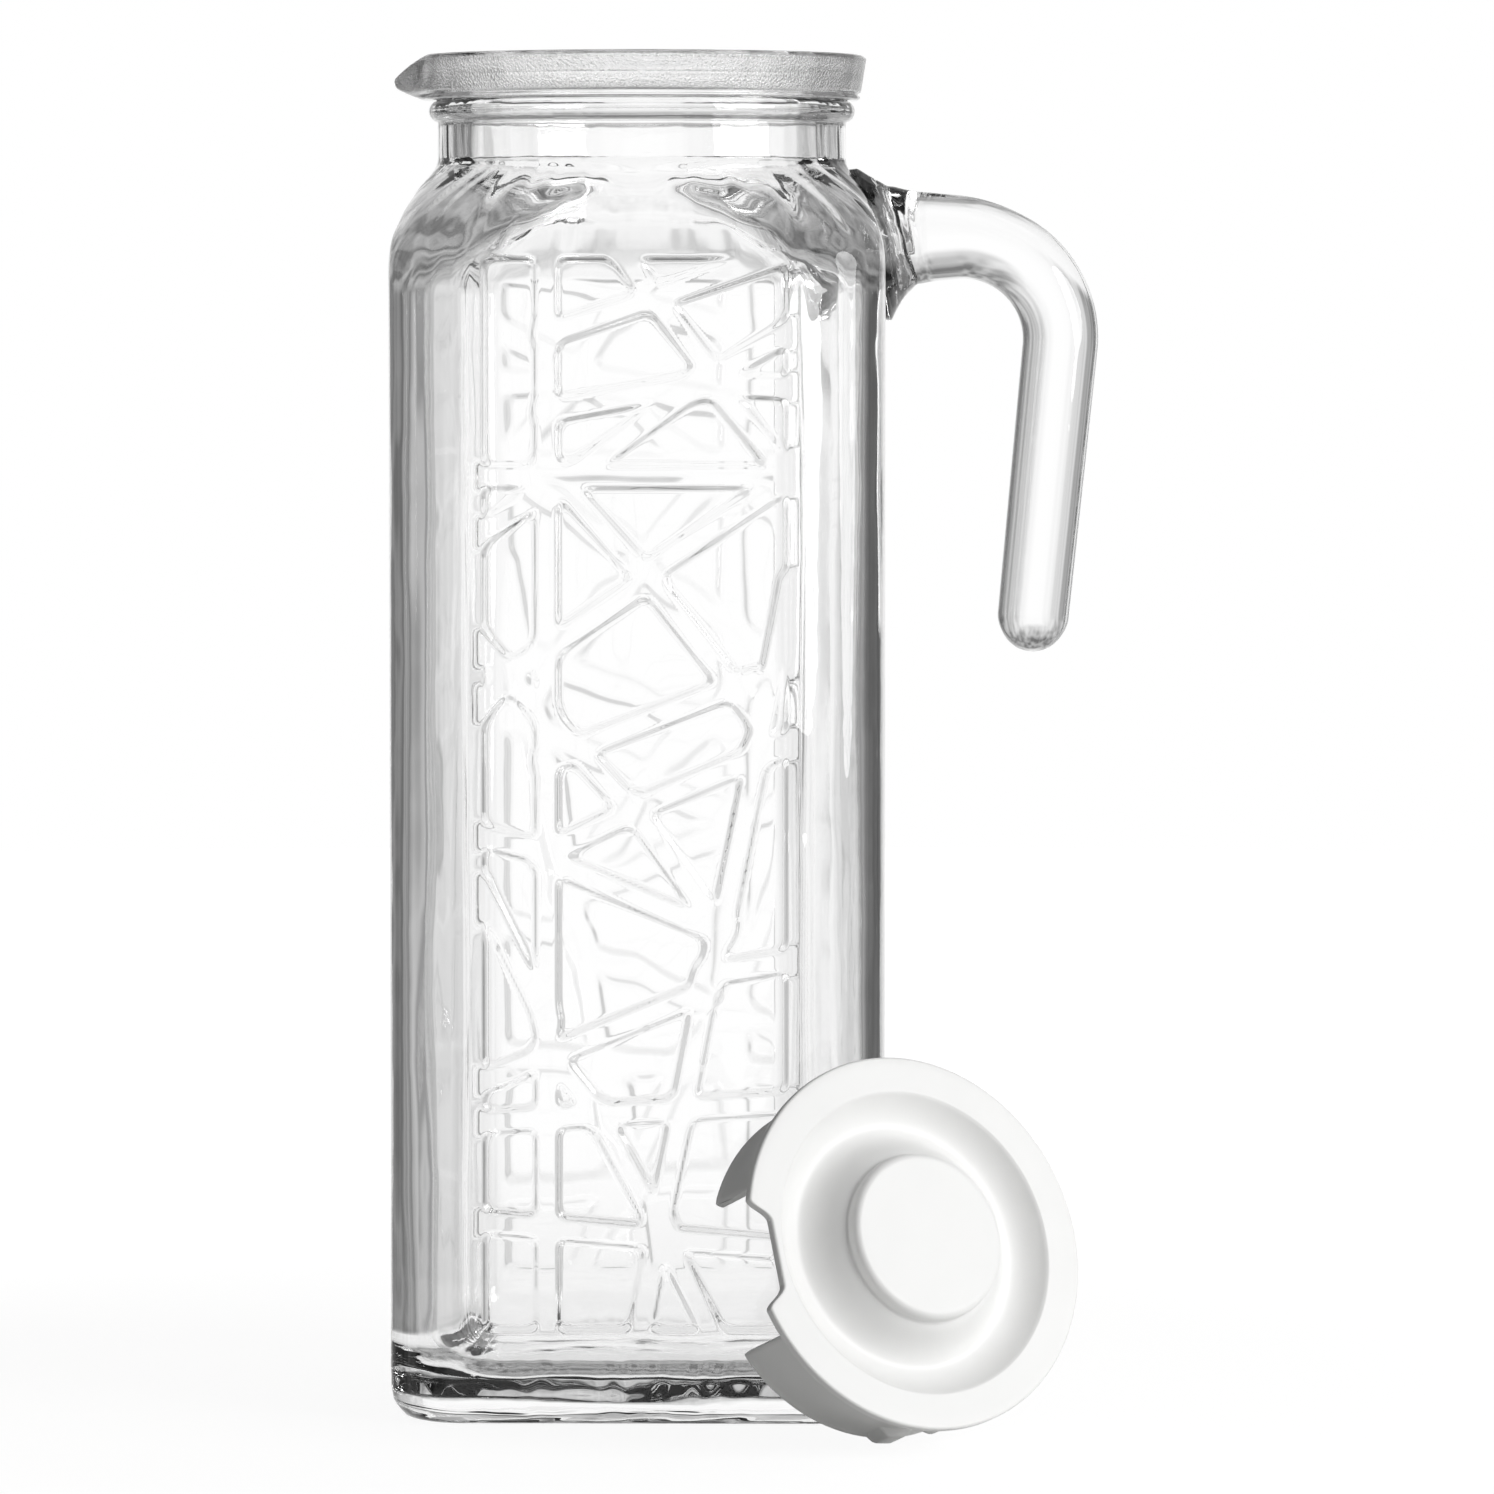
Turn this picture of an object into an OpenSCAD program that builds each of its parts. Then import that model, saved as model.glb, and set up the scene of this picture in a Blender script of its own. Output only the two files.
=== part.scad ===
// Glass pitcher with a square body, a round mouth, a hook handle and a loose lid.
// Millimetres. The origin is the middle of the base, +Z is up, the spout points to -X
// and the handle to +X. The lid stands beside the pitcher and leans on its front corner.

/* [Body] */
// Width of the square body across its flats
body_w = 92.5; // [88:0.5:98]
// Height of the straight sides
body_h = 218; // [190:1:240]
// Radius of the upright corners
body_corner_r = 14; // [12:0.5:17]
// Thickness of the side walls
wall = 4.3; // [3.6:0.1:4.8]
// Thickness of the base
base_t = 8; // [6:0.5:12]
// Rounding where the sides meet the base
base_edge_r = 6; // [4:0.5:6.5]
// Extra rounding of the inner upright corners over that of an even wall
corner_fill = 7.3; // [4:0.1:9]
// Rounding where the inner walls meet the floor
floor_edge_r = 8; // [6:0.2:9.4]

/* [Shoulder, neck and mouth] */
// Height of the shoulder between the square body and the round neck
shoulder_h = 17.5; // [15:0.5:22]
// How far the hollow of the shoulder lies below its outside
shoulder_drop = 3; // [2:0.5:4]
// Outer radius of the neck
neck_r = 38.7; // [37.8:0.1:39.5]
// Height of the plain neck
neck_h = 6.8; // [5:0.2:10]
// Height of the smooth bead under the rim
bead_h = 4.2; // [3:0.2:5]
// How far the bead stands out of the neck
bead_out = 1.7; // [1:0.1:2.4]
// Height of the rim band
rim_h = 8.5; // [7.6:0.1:10]
// How far the rim band's foot stands out of the neck
rim_foot_out = 2.6; // [2.1:0.1:3.1]
// How far the rim band leans out from its foot to its top
rim_lean = 1.3; // [0.7:0.1:2]
// Rounding of the rim's top edge
rim_edge_r = 1.2; // [0.6:0.1:1.6]
// Thickness of the neck's wall
neck_wall = 5.5; // [4.7:0.1:6.3]
// Width of the ledge that the lid rests on
seat_w = 2.3; // [1.8:0.1:2.8]
// Depth of that ledge below the rim
seat_depth = 6; // [5:0.2:7]
// How far the mouth widens from the ledge to the rim
mouth_flare = 2.1; // [1.5:0.1:2.7]

/* [Spout] */
// How far the spout's tip stands out of the rim
spout_out = 4.4; // [3.4:0.1:5.8]
// Radius of the rounded tip
spout_tip_r = 2; // [1.6:0.1:2.4]
// Height of the tip's middle below the rim
spout_drop = 4.8; // [4:0.1:5.6]
// Half the width of the spout where it leaves the rim
spout_root_r = 16; // [13:0.5:18]
// Thickness of glass left beside the pouring channel
spout_wall = 5.5; // [4.5:0.1:6.5]
// Depth of the pouring channel in the spout's tip
channel_depth = 1; // [0.6:0.1:1.4]

/* [Panels] */
// Width of the patterned panel on the front and on the back
panel_w = 57.2; // [50:0.2:60]
// Height of the panel's lower edge above the table
panel_z = 17.8; // [12:0.2:24]
// Plain height left between the panel and the shoulder
panel_clear = 1; // [0.5:0.5:6]
// Depth of the fields between the raised bands
panel_depth = 1; // [0.5:0.1:1.4]
// Width of a raised band
band_w = 4.2; // [3.2:0.1:5]

/* [Handle] */
// Height of the handle's root above the straight sides
handle_rise = 1; // [0:0.5:3]
// Distance from the wall to the middle of the bend
bend_x = 14.5; // [12:0.5:18]
// Radius of the bend's middle line
bend_r = 18.6; // [17:0.2:22]
// Upward slope of the arm that leaves the wall
arm_slope = 5; // [2:0.5:8]
// Inward slope of the hanging leg
leg_slope = 5.6; // [3:0.2:8]
// Length of the hanging leg to the middle of its round end
leg_len = 51.2; // [40:0.2:70]
// Thickness of the handle at the arm
handle_t = 15.3; // [13:0.1:16]
// Thickness of the handle at its free end
handle_tip_t = 13.4; // [12:0.1:14.5]
// Width of the handle at the arm
handle_w = 16.6; // [14:0.1:20]
// Width of the handle at its free end
handle_tip_w = 14.8; // [12:0.1:18]
// How much thicker the handle gets where it is fused to the wall
flare = 3.3; // [2:0.1:4.4]
// Length of that flare
flare_len = 9; // [6:0.5:12]
// How deep the handle is fused into the wall
fuse_depth = 1.2; // [0.6:0.1:1.6]
// How far inside the flats the handle's blank begins, before the fused face is cut
root_depth = 8; // [7:0.5:10]

/* [Lid] */
// Clearance between the lid's disc and the rim's ledge
lid_clear = 0.55; // [0.3:0.05:0.9]
// Thickness of the disc's edge
lid_t = 2; // [1.6:0.1:2.6]
// Wall of the dished middle
lid_wall = 1.8; // [1.4:0.1:2]
// Width of the flat ring round the dish
ring_w = 6.65; // [6.2:0.05:7.2]
// Distance from the flat ring in to the dish's lowest ring
dish_out_w = 5.7; // [4:0.1:7]
// Distance from that lowest ring in to the knob
dish_in_w = 7; // [5:0.1:8]
// Depth of the dish below the flat ring
groove_depth = 5; // [3:0.2:6]
// Height of the knob above the flat ring
knob_h = 4.9; // [4:0.1:7]
// Height above the flat ring at which the dish meets the knob
knob_foot = 2.2; // [1:0.1:2.6]
// Rounding of the knob's top edge
knob_edge_r = 1.3; // [0.6:0.1:1.6]

/* [Skirt and notch] */
// Depth of the skirt below the flat ring
skirt_h = 19.9; // [14:0.1:22]
// Thickness of the skirt
skirt_t = 1.6; // [1.2:0.1:2]
// How far the lip along the skirt's free edge stands out
lip_out = 0.5; // [0.3:0.1:0.8]
// Height of that lip
lip_h = 1.2; // [0.8:0.1:2]
// Gap between the skirt and the neck's bore
skirt_gap = 1.8; // [1.4:0.1:2.2]
// Half the angle that the skirt leaves open for pouring
skirt_open = 26.4; // [22:0.2:34]
// How deep the notch cuts into the disc's edge
notch_depth = 5.25; // [4:0.05:5.6]
// Width of the notch at its inner edge
notch_w = 13.8; // [10:0.2:16]
// Width of the notch at the disc's edge
notch_mouth_w = 21.6; // [18:0.2:24]
// Clearance between the lugs and the neck's bore
lug_clear = 0.25; // [0.1:0.05:0.5]
// Width of a lug at its foot
lug_w = 8.6; // [7:0.1:9.5]
// Width of a lug at its tip
lug_tip_w = 3.8; // [3:0.1:5]
// Height of a lug along the skirt
lug_h = 6; // [4:0.2:8]
// Angle from the notch to the first lug
lug_first = 85; // [80:1:90]
// Angle between two lugs
lug_step = 22; // [20:1:26]

/* [Lid beside the pitcher] */
// How far the lid leans back from upright
lid_lean = 20.5; // [14:0.5:26]
// How far the lid is turned to the right
lid_turn = 33; // [26:1:40]
// Distance of the lid's middle to the right of the axis
lid_x = 51.9; // [44:0.1:56]
// Gap between the lid and the pitcher's corner
lean_gap = 0.3; // [0.2:0.05:0.6]

/* [Hidden] */
// Sides of a full circle, and of the circles that blended shapes are made of
$fn = 96;
blend_fn = 32;
shoulder_fn = 64;
// Length by which a cut runs past what it cuts, or a piece sinks into its own neighbour
overrun = 1;
// Thickness of the thin slices that blended shapes are made of
slice_t = 0.1;

half_w = body_w / 2;
inner_half = half_w - wall;
inner_corner_r = body_corner_r - wall + corner_fill;
shoulder_top = body_h + shoulder_h;
bead_z = shoulder_top + neck_h;
rim_z = bead_z + bead_h;
jug_h = rim_z + rim_h;
seat_z = jug_h - seat_depth;
neck_bore_r = neck_r - neck_wall;
rim_foot_r = neck_r + rim_foot_out;
rim_r = rim_foot_r + rim_lean;
seat_r = neck_bore_r + seat_w;
mouth_r = seat_r + mouth_flare;
spout_reach = rim_r + spout_out;
panel_h = body_h - panel_clear - panel_z;

lid_r = seat_r - lid_clear;
dish_r = lid_r - ring_w;
groove_r = dish_r - dish_out_w;
knob_r = groove_r - dish_in_w;
notch_reach = lid_r - notch_depth;
skirt_r = neck_bore_r - skirt_gap;
lug_r = neck_bore_r - lug_clear;
lug_angles = [for (side = [-1, 1], i = [0, 1]) 180 + side * (lug_first + i * lug_step)];

// The shoulder's slices: share of its height, of the way in to the neck, and of the
// way from the body's corner radius to a full circle
shoulder_shares = [[0, 0, 0], [0.12, 0.065, 0.07], [0.25, 0.155, 0.18], [0.42, 0.29, 0.34],
    [0.6, 0.51, 0.54], [1, 1, 1]];

// The bands of a panel, from end to end, as shares of its width and height
band_shares = [
    [[0.215, 0], [0.215, 1]],
    [[0.46, 1], [0.74, 0.895]],
    [[0.215, 0.927], [1, 1.003]],
    [[0.215, 0.856], [0.71, 0.882]],
    [[0.71, 0.882], [1, 0.878]],
    [[0.71, 0.882], [1, 0.93]],
    [[0.215, 0.78], [0.71, 0.882]],
    [[0.77, 0.876], [0.99, 0.8]],
    [[0, 0.796], [1, 0.796]],
    [[0.215, 0.805], [0.545, 0.7]],
    [[0.545, 0.708], [1, 0.795]],
    [[0.545, 0.7], [0.09, 0.612]],
    [[0.545, 0.7], [0.89, 0.575]],
    [[0.215, 0.785], [0, 0.742]],
    [[0, 0.642], [0.09, 0.612]],
    [[0, 0.58], [0.09, 0.612]],
    [[0.09, 0.612], [0.49, 0.487]],
    [[1, 0.697], [0.9, 0.545]],
    [[0.9, 0.545], [0.785, 0.38]],
    [[0.215, 0.533], [0.88, 0.608]],
    [[0.49, 0.487], [1, 0.549]],
    [[0.49, 0.485], [0.215, 0.447]],
    [[0.49, 0.49], [0.77, 0.378]],
    [[0.215, 0.44], [0.77, 0.373]],
    [[0.215, 0.447], [0, 0.463]],
    [[0, 0.415], [0.215, 0.29]],
    [[0.785, 0.38], [0.73, 0.325]],
    [[0.73, 0.318], [0, 0.233]],
    [[0.735, 0.334], [1, 0.347]],
    [[0.735, 0.33], [0.655, 0.21]],
    [[0.215, 0.262], [0.38, 0.203]],
    [[0, 0.196], [1, 0.215]],
    [[0.38, 0.203], [0.575, 0.1]],
    [[0.655, 0.21], [0.575, 0.1]],
    [[0, 0.103], [1, 0.078]],
    [[0.58, 0.1], [0.515, 0]],
    [[0.575, 0.1], [0.75, 0]]
];

// The handle's middle line in its own plane: x out of the wall, y up from its root
arm_start = -root_depth;
arm_way = [cos(arm_slope), sin(arm_slope)];
leg_way = [-sin(leg_slope), -cos(leg_slope)];
leg_heading = atan2(leg_way[1], leg_way[0]);
bend_middle = [bend_x, bend_x * tan(arm_slope) - bend_r / cos(arm_slope)];
handle_z = body_h + handle_rise;

// The way across a heading, and the place on the bend that has that heading
function across(heading) = [-sin(heading), cos(heading)];
function on_bend(heading) = bend_middle + bend_r * across(heading);
bend_start = on_bend(arm_slope);
bend_end = on_bend(leg_heading);
tip_r = handle_tip_t / 2;
arm_len = (bend_start[0] - arm_start) / arm_way[0];
turn_len = bend_r * (arm_slope - leg_heading) * PI / 180;
line_len = arm_len + turn_len + leg_len + tip_r;

// A place on the middle line and its heading, s along from the start
function line_at(s) =
    let (turned = s - arm_len, down = turned - turn_len)
    turned < 0 ? [bend_start + turned * arm_way, arm_slope]
    : down > 0 ? [bend_end + down * leg_way, leg_heading]
    : let (h = arm_slope + turned / turn_len * (leg_heading - arm_slope)) [on_bend(h), h];

// How far the flare and the round end change the section at s
function flare_at(s) = let (q = max(0, min(1, 1 - (s + arm_start) / flare_len))) flare * q * q;
function end_share(s) = let (q = max(0, (s - line_len + tip_r) / tip_r)) sqrt(max(0, 1 - q * q));
function section_at(s) =
    let (q = s / line_len)
    [handle_t + (handle_tip_t - handle_t) * q, handle_w + (handle_tip_w - handle_w) * q]
    / 2 * end_share(s) + flare_at(s) * [1, 1];

// Stations along the handle, closer together in the flare, the bend and the round end
handle_sides = 24;
flare_steps = 6;
body_steps = 22;
end_steps = 7;
handle_stations = [
    for (i = [0 : flare_steps - 1]) i / flare_steps * (flare_len - arm_start),
    for (i = [0 : body_steps - 1])
        flare_len - arm_start + i / body_steps * (line_len - tip_r - flare_len + arm_start),
    for (i = [0 : end_steps - 1]) line_len - tip_r + tip_r * sin(90 * i / end_steps)
];

// Where the leaning lid stands: its lowest point is on the table, and its nearest
// point is the gap away from the pitcher's rounded corner
rim_step = 2;
function on_rim(r, a, z) = [r * cos(a), r * sin(a), z];
lug_corners = [for (a = lug_angles, side = [-1, 1])
    on_rim(lug_r, a, -skirt_h) + side * lug_tip_w / 2 * [-sin(a), cos(a), 0]];
skirt_rim = [for (a = [180 + skirt_open : rim_step : 540 - skirt_open])
    on_rim(skirt_r + lip_out, a, -skirt_h)];
disc_rim = [for (a = [0 : rim_step : 360 - rim_step]) on_rim(lid_r, a, -lid_t)];
lid_outline = concat(lug_corners, skirt_rim, disc_rim);

// A point of the lid turned into the leaning pose
function leaned(p) =
    let (tilt = 90 - lid_lean, y = p[1] * cos(tilt) - p[2] * sin(tilt))
    [p[0] * cos(lid_turn) - y * sin(lid_turn), p[0] * sin(lid_turn) + y * cos(lid_turn),
        p[1] * sin(tilt) + p[2] * cos(tilt)];
leaned_outline = [for (p = lid_outline) leaned(p)];
lid_z = -min([for (p = leaned_outline) p[2]]);

// The distance of a point from the side of the body
function off_body(x, y) =
    let (core = half_w - body_corner_r)
    norm([max(0, abs(x) - core), max(0, abs(y) - core)]) - body_corner_r;
function gap_at(y) = min([for (p = leaned_outline) off_body(lid_x + p[0], y + p[1])]);
halvings = 30;
function lean_y(far, near, n) =
    n == 0 ? far
    : gap_at((far + near) / 2) > lean_gap ? lean_y((far + near) / 2, near, n - 1)
    : lean_y(far, (far + near) / 2, n - 1);
lid_y = lean_y(-half_w - 2 * lid_r, 0, halvings);

// Half of a side view with rounded lower edges, from x to the right edge
module edge_outline(from_x, half, edge_r, low, high) {
    translate([from_x, low + edge_r]) square([half - from_x, high - low - edge_r]);
    translate([from_x, low]) square([half - edge_r - from_x, edge_r]);
    intersection() {
        translate([half - edge_r, low + edge_r]) circle(edge_r);
        translate([half - edge_r, low]) square(edge_r);
    }
}

// A square block with rounded upright corners and rounded lower edges
module rounded_block(half, corner_r, edge_r, low, high) {
    core = half - corner_r;
    for (turn = [0 : 90 : 270]) rotate([0, 0, turn]) {
        rotate([90, 0, 0]) linear_extrude(2 * core, center = true)
            edge_outline(0, half, edge_r, low, high);
        translate([core, core, 0])
            rotate_extrude(angle = 90) edge_outline(0, corner_r, edge_r, low, high);
    }
}

// The blend from the square body to the round neck, which a cut may start lower. Its
// circles have their sides, and not their corners, on the radius, so that they hide in
// the neck
module shoulder_block(half, corner_r, end_r, low, height, lower = 0) {
    hull() for (s = shoulder_shares) {
        r = corner_r + (end_r - corner_r) * s[2];
        out = half + (end_r - half) * s[1] - r;
        down = s[0] > 0 ? 0 : lower;
        for (x = [-1, 1], y = [-1, 1])
            translate([x * out, y * out, low + height * s[0] - down]) rotate(180 / shoulder_fn)
                cylinder(slice_t + down, r = r / cos(180 / shoulder_fn), $fn = shoulder_fn);
    }
}

// The outside of the neck, bead and rim
module mouth_block() {
    rotate_extrude() {
        polygon([[0, shoulder_top - overrun], [neck_r, shoulder_top - overrun], [neck_r, rim_z],
            [rim_foot_r, rim_z], [rim_r, jug_h - rim_edge_r], [rim_r - rim_edge_r, jug_h], [0, jug_h]]);
        translate([neck_r + bead_out - bead_h / 2, bead_z + bead_h / 2]) circle(bead_h / 2);
        translate([rim_r - rim_edge_r, jug_h - rim_edge_r]) circle(rim_edge_r);
    }
}

// The beak that the rim is pulled out into
module spout_block() {
    hull() {
        translate([-rim_foot_r + spout_root_r, 0, rim_z + overrun])
            cylinder(rim_h - overrun - slice_t, r = spout_root_r, $fn = blend_fn);
        translate([-spout_reach + spout_tip_r, 0, jug_h - spout_drop])
            sphere(spout_tip_r, $fn = blend_fn);
    }
}

// The channel that runs from the mouth to the spout's tip
module spout_channel() {
    channel_r = spout_root_r - spout_wall;
    hull() {
        translate([-mouth_r + channel_r, 0, seat_z + lid_t])
            cylinder(seat_depth, r = channel_r, $fn = blend_fn);
        translate([-spout_reach, 0, jug_h - spout_drop + 2 * spout_tip_r - channel_depth])
            sphere(spout_tip_r, $fn = blend_fn);
        translate([-spout_reach, 0, jug_h + spout_tip_r]) sphere(spout_tip_r, $fn = blend_fn);
    }
}

// A straight band between two places on the panel
module band(from, to) {
    way = to - from;
    translate(from) rotate(atan2(way[1], way[0])) translate([-band_w / 2, -band_w / 2])
        square([norm(way) + band_w, band_w]);
}

function on_panel(share) = [(share[0] - 1 / 2) * panel_w, share[1] * panel_h];

// The sunk fields of one panel, seen from outside, with the middle of its foot as origin
module panel_fields() {
    difference() {
        translate([-panel_w / 2, 0]) square([panel_w, panel_h]);
        for (b = band_shares) band(on_panel(b[0]), on_panel(b[1]));
    }
}

// The pressed glass vessel
module jug_body() {
    color([0.86, 0.92, 0.91]) difference() {
        union() {
            rounded_block(half_w, body_corner_r, base_edge_r, 0, body_h);
            shoulder_block(half_w, body_corner_r, neck_r, body_h, shoulder_h);
            mouth_block();
            spout_block();
        }
        rounded_block(inner_half, inner_corner_r, floor_edge_r, base_t, body_h - shoulder_drop);
        shoulder_block(inner_half, inner_corner_r, neck_bore_r, body_h - shoulder_drop, shoulder_h);
        translate([0, 0, body_h]) cylinder(seat_z - body_h + overrun, r = neck_bore_r);
        rotate_extrude() polygon([[0, seat_z], [seat_r, seat_z], [seat_r, seat_z + lid_t],
            [mouth_r, jug_h], [mouth_r, jug_h + overrun], [0, jug_h + overrun]]);
        spout_channel();
        for (turn = [0, 180]) rotate([0, 0, turn]) translate([0, -half_w + panel_depth, panel_z])
            rotate([90, 0, 0]) linear_extrude(panel_depth + overrun) panel_fields();
    }
}

// One station's ring of the handle, in the pitcher's own frame
function handle_ring(s) =
    let (place = line_at(s), size = section_at(s))
    [for (i = [0 : handle_sides - 1])
        let (a = 360 * i / handle_sides, p = place[0] + size[0] * sin(a) * across(place[1]))
        [half_w + p[0], size[1] * cos(a), handle_z + p[1]]];

// The handle, fused to the wall at its root and free at its lower end
module handle() {
    fused_half = half_w - fuse_depth;
    fused_r = body_corner_r - fuse_depth;
    n = len(handle_stations);
    last = line_at(line_len)[0];
    tip = [half_w + last[0], 0, handle_z + last[1]];
    points = concat([for (s = handle_stations) each handle_ring(s)], [tip]);
    faces = concat(
        [[for (i = [0 : handle_sides - 1]) i]],
        [for (k = [0 : n - 2], i = [0 : handle_sides - 1])
            let (j = (i + 1) % handle_sides, a = k * handle_sides, b = a + handle_sides)
            each [[a + i, b + j, a + j], [a + i, b + i, b + j]]],
        [for (i = [0 : handle_sides - 1])
            let (a = (n - 1) * handle_sides) [a + i, n * handle_sides, a + (i + 1) % handle_sides]]);
    color([0.82, 0.9, 0.89]) difference() {
        polyhedron(points, faces);
        rounded_block(fused_half, fused_r, base_edge_r, 0, body_h);
        shoulder_block(fused_half, fused_r, neck_r - fuse_depth, body_h, shoulder_h, overrun);
    }
}

// Half of the lid's disc, dish and knob, as a closed outline
dish_steps = 8;
function ease(share) = (1 + cos(180 * share)) / 2;
function groove_z(r) = r < groove_r
    ? -groove_depth + (knob_foot + groove_depth) * ease((r - knob_r) / dish_in_w)
    : -groove_depth * ease((r - groove_r) / dish_out_w);
groove_line = [for (i = [0 : 2 * dish_steps])
    let (r = i < dish_steps ? knob_r + dish_in_w * i / dish_steps
        : groove_r + dish_out_w * (i / dish_steps - 1)) [r, groove_z(r)]];
module lid_section() {
    polygon(concat(
        [[0, knob_h], [knob_r - knob_edge_r, knob_h], [knob_r, knob_h - knob_edge_r]],
        groove_line,
        [[lid_r, 0], [lid_r, -lid_t], [dish_r, -lid_t]],
        [for (i = [len(groove_line) - 2 : -1 : 1]) groove_line[i] - [0, lid_wall]],
        [for (z = [knob_foot, knob_h]) [knob_r - lid_wall, z - lid_wall]],
        [[0, knob_h - lid_wall]]));
    translate([knob_r - knob_edge_r, knob_h - knob_edge_r]) circle(knob_edge_r);
}

// The lid in its own frame: the flat ring's top at height 0, the notch towards -X
module lid_moulding() {
    difference() {
        rotate_extrude() lid_section();
        translate([0, 0, -lid_t - overrun]) linear_extrude(lid_t + 2 * overrun)
            polygon([[-notch_reach, -notch_w / 2], [-lid_r - overrun, -notch_mouth_w / 2],
                [-lid_r - overrun, notch_mouth_w / 2], [-notch_reach, notch_w / 2]]);
    }
    rotate([0, 0, 180 + skirt_open]) rotate_extrude(angle = 360 - 2 * skirt_open) {
        translate([skirt_r - skirt_t, -skirt_h]) square([skirt_t, skirt_h - lid_t / 2]);
        translate([skirt_r - skirt_t, -skirt_h]) square([skirt_t + lip_out, lip_h]);
    }
    for (a = lug_angles) rotate([0, 0, a]) translate([0, 0, -skirt_h]) linear_extrude(lug_h)
        polygon([[skirt_r - skirt_t / 2, -lug_w / 2], [lug_r, -lug_tip_w / 2],
            [lug_r, lug_tip_w / 2], [skirt_r - skirt_t / 2, lug_w / 2]]);
}

// The moulded lid, taken off and leaning on the pitcher's corner
module lid() {
    color([0.96, 0.96, 0.95]) translate([lid_x, lid_y, lid_z]) rotate([0, 0, lid_turn])
        rotate([90 - lid_lean, 0, 0]) lid_moulding();
}

jug_body();
handle();
lid();
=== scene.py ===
import math

import bpy
import numpy as np
from mathutils import Matrix, Vector


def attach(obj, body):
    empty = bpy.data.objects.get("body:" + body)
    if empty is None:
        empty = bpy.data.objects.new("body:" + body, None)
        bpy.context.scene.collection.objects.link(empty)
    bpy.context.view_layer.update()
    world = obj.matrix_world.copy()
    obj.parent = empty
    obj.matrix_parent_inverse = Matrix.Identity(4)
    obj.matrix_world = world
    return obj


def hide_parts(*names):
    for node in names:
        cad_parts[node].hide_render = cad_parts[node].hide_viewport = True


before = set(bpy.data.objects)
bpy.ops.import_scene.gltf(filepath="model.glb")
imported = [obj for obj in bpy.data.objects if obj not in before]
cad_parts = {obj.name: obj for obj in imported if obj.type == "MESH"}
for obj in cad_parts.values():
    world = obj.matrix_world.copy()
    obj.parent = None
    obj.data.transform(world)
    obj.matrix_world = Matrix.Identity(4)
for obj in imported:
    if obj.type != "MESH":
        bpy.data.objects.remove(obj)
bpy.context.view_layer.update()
print("frame loaded:", ", ".join(sorted(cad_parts)))

mm = 0.001
tau = 2 * math.pi


# sRGB hex to linear, with alpha 1
def toLinear(hexText):
    out = []
    for i in (1, 3, 5):
        c = int(hexText[i:i + 2], 16) / 255
        out.append(c / 12.92 if c <= 0.04045 else ((c + 0.055) / 1.055) ** 2.4)
    return (*out, 1.0)


def addNode(tree, kind, settings=None, links=None, **properties):
    node = tree.nodes.new(kind)
    for key, value in properties.items():
        setattr(node, key, value)
    for key, value in (settings or {}).items():
        node.inputs[key].default_value = value
    for key, source in (links or {}).items():
        tree.links.new(source, node.inputs[key])
    return node


def newMaterial(name):
    material = bpy.data.materials.new(name)
    material.use_nodes = True
    material.node_tree.nodes.clear()
    return material, material.node_tree


# Points are in millimetres
def addMesh(name, points, quads, triangles=()):
    quads = np.asarray(quads, int).reshape(-1, 4)
    triangles = np.asarray(triangles, int).reshape(-1, 3)
    corners = np.concatenate([quads.ravel(), triangles.ravel()])
    starts = np.concatenate([4 * np.arange(len(quads)), 4 * len(quads) + 3 * np.arange(len(triangles))])
    mesh = bpy.data.meshes.new(name)
    mesh.vertices.add(len(points))
    mesh.vertices.foreach_set("co", (np.asarray(points, float) * mm).ravel())
    mesh.loops.add(len(corners))
    mesh.loops.foreach_set("vertex_index", corners)
    mesh.polygons.add(len(starts))
    mesh.polygons.foreach_set("loop_start", starts)
    mesh.update(calc_edges=True)
    mesh.validate()
    mesh.polygons.foreach_set("use_smooth", [True] * len(mesh.polygons))
    piece = bpy.data.objects.new(name, mesh)
    bpy.context.scene.collection.objects.link(piece)
    return piece


# Quads between rings that follow each other upwards and run anticlockwise seen from above
def ringQuads(rings, columns, closed=True, first=0):
    k, i = np.meshgrid(np.arange(rings - 1), np.arange(columns if closed else columns - 1), indexing="ij")
    j = (i + 1) % columns
    a, b = k * columns, (k + 1) * columns
    return np.stack([a + i, a + j, b + j, b + i], -1).reshape(-1, 4) + first


def fan(ring, middle, up):
    after = np.roll(ring, -1)
    sides = (ring, after) if up else (after, ring)
    return np.stack([*sides, np.full(len(ring), middle)], -1)


def smoothStep(x):
    x = np.clip(x, 0, 1)
    return x * x * (3 - 2 * x)


# A smooth curve through points, which never swings past them
def monotone(xs, ys, at, flatEnds=False):
    xs, ys, at = (np.asarray(v, float) for v in (xs, ys, at))
    h, d = np.diff(xs), np.diff(ys) / np.diff(xs)
    m = np.zeros(len(xs))
    inner = d[:-1] * d[1:] > 0
    m[1:-1][inner] = 2 / (1 / d[:-1][inner] + 1 / d[1:][inner])
    if not flatEnds:
        m[0], m[-1] = d[0], d[-1]
    i = np.clip(np.searchsorted(xs, at) - 1, 0, len(h) - 1)
    t = (at - xs[i]) / h[i]
    return (ys[i] * (1 + 2 * t) * (1 - t) ** 2 + m[i] * h[i] * t * (1 - t) ** 2
            + ys[i + 1] * t * t * (3 - 2 * t) + m[i + 1] * h[i] * t * t * (t - 1))


# Fitted to the photograph: degrees, and a focal length in pixels of its own frame
cameraSetup = {
    "place": (0.0463, -1.5127, 0.2103), "down": 3.27, "left": 1.0,
    "focalPixels": 7962.8, "framePixels": 1494,
}

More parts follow.
